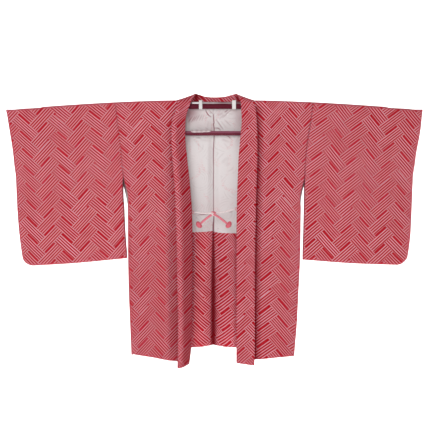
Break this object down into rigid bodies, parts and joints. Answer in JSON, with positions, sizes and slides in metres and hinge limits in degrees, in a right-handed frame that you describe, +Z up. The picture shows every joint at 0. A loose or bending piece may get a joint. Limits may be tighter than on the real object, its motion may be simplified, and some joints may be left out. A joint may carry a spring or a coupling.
{
  "type": "haori on a hanger rod",
  "caption": "Haori of red herringbone crepe with a pale back lining, hung open and flat on a telescopic rod through its sleeves, its fronts tied by a knotted cord.",
  "frame": {"origin": "middle of the hanger rod, on its axis, between the two fronts", "axes": "+X to the viewer's right along the rod, +Y away from the viewer, towards the garment's back, +Z up"},
  "size_m": [1.3085, 0.151, 0.8564],
  "materials": {
    "crepe": "matt silk crepe with a red and pale pink herringbone",
    "lining": "thin satin, softly shining",
    "cord_pale": "braided silk",
    "cord_pink": "braided silk",
    "rod": "semi-gloss burgundy",
    "clip": "satin white"
  },
  "bodies": {
    "root": {"body_left": "crepe", "body_right": "crepe", "sleeve_left": "crepe", "sleeve_right": "crepe", "gusset_left": "crepe", "gusset_right": "crepe", "collar": "crepe", "lining_left": "lining", "lining_right": "lining", "cord_loop_left": "crepe", "cord_loop_right": "crepe", "cord_eye_left": "cord_pale", "cord_eye_right": "cord_pale", "cord_lead_left": "cord_pale", "cord_lead_right": "cord_pale", "cord_knot": "cord_pink", "cord_tail_left": "cord_pink", "cord_tail_right": "cord_pink", "cord_knob_left": "cord_pink", "cord_knob_right": "cord_pink", "rod": "rod", "rod_tip_left": "rod", "rod_tip_right": "rod", "lower_bar": "rod", "bar_link_left": "rod", "bar_link_right": "rod", "clip_left": "clip", "clip_right": "clip", "neck_rest": "clip"}
  },
  "joints": []
}
